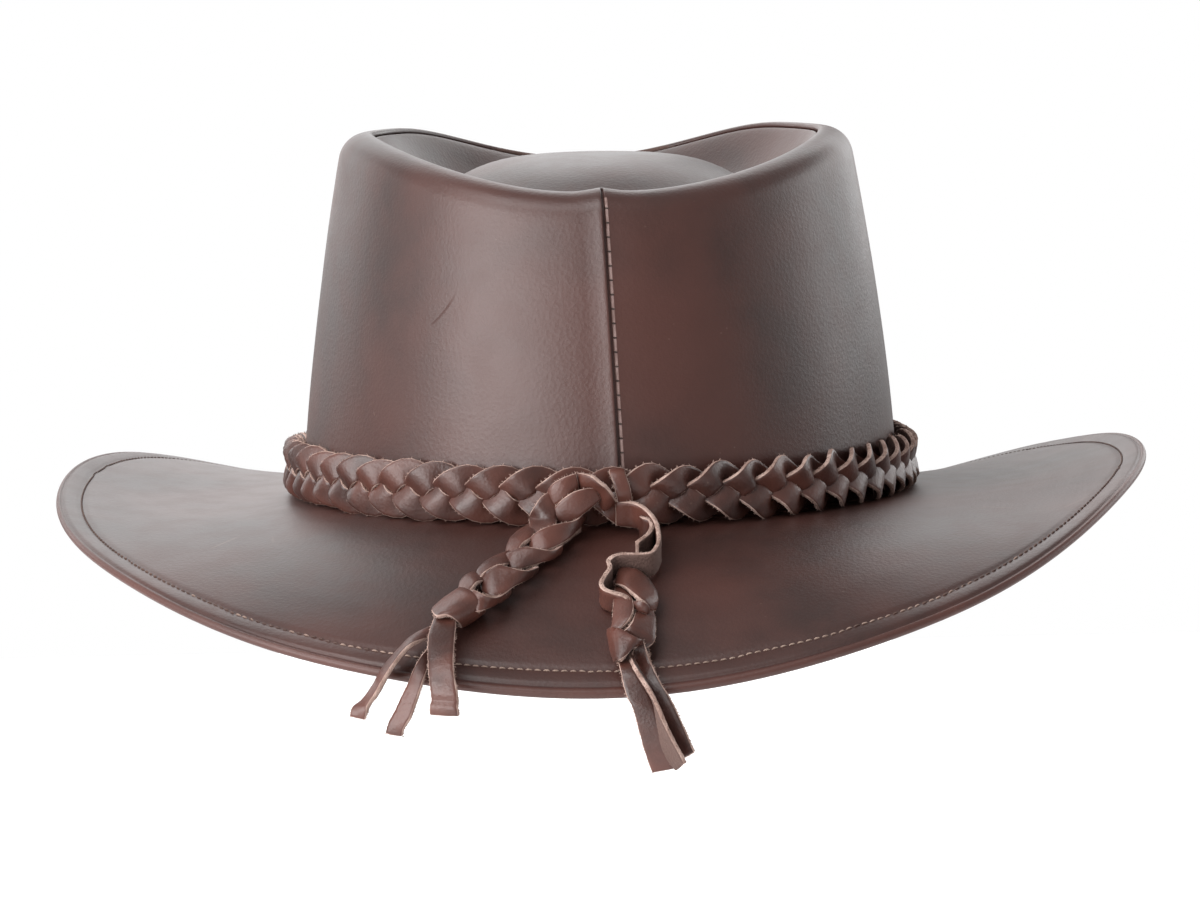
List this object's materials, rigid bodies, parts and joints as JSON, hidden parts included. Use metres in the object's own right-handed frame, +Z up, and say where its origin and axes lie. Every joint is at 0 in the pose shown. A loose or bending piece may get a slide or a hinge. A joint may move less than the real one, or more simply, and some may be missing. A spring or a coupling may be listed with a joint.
{
  "type": "leather hat",
  "caption": "Wide-brimmed leather hat: tapered crown with an inset domed top, curled saddle brim with a rolled edge, braided band knotted at the back, and two tie ends.",
  "frame": {"origin": "middle of the head opening at the crown's foot, where the hat sits on a head", "axes": "+Z up through the crown; +Y towards the back of the hat, with its seam and knot; +X towards the wearer's left"},
  "size_m": [0.3113, 0.3545, 0.1592],
  "materials": {
    "crown_leather": "dark brown oiled leather, satin",
    "brim_leather": "dark brown oiled leather, satin, with a rolled and stitched edge",
    "lace_leather": "brown leather lace with paler raw edges"
  },
  "bodies": {
    "root": {"crown_side": "crown_leather", "crown_top": "crown_leather", "brim": "brim_leather", "hat_band": "lace_leather", "band_knot": "lace_leather", "tie_left": "lace_leather", "tie_right": "lace_leather"}
  },
  "joints": []
}
